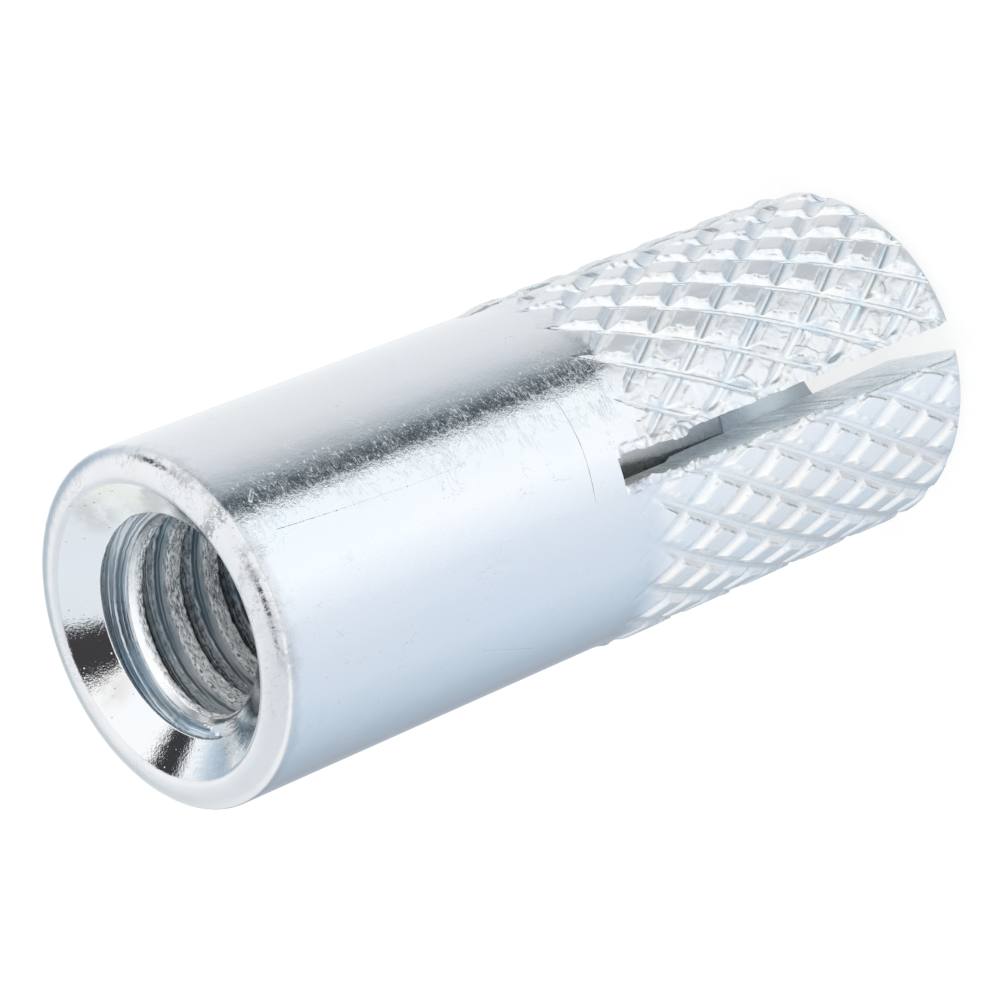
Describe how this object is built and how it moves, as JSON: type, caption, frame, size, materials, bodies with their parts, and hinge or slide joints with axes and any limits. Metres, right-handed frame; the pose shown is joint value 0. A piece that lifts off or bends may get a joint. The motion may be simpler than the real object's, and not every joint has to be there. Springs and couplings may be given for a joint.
{
  "type": "drop-in internal thread anchor",
  "caption": "Knurled, slotted steel sleeve with an internal thread and a captive expander plug, set into a drilled hole to take a bolt.",
  "frame": {"origin": "centre of the slotted end face, on the sleeve's axis", "axes": "+Z along the axis from the slotted end to the threaded mouth; the four slots lie on +X, -X, +Y and -Y"},
  "size_m": [0.0098, 0.0098, 0.0254],
  "materials": {
    "sleeve": "bright zinc plated, knurled lower half",
    "expander_plug": "dull steel"
  },
  "bodies": {
    "root": {"sleeve": "sleeve", "expander_plug": "expander_plug"}
  },
  "joints": []
}
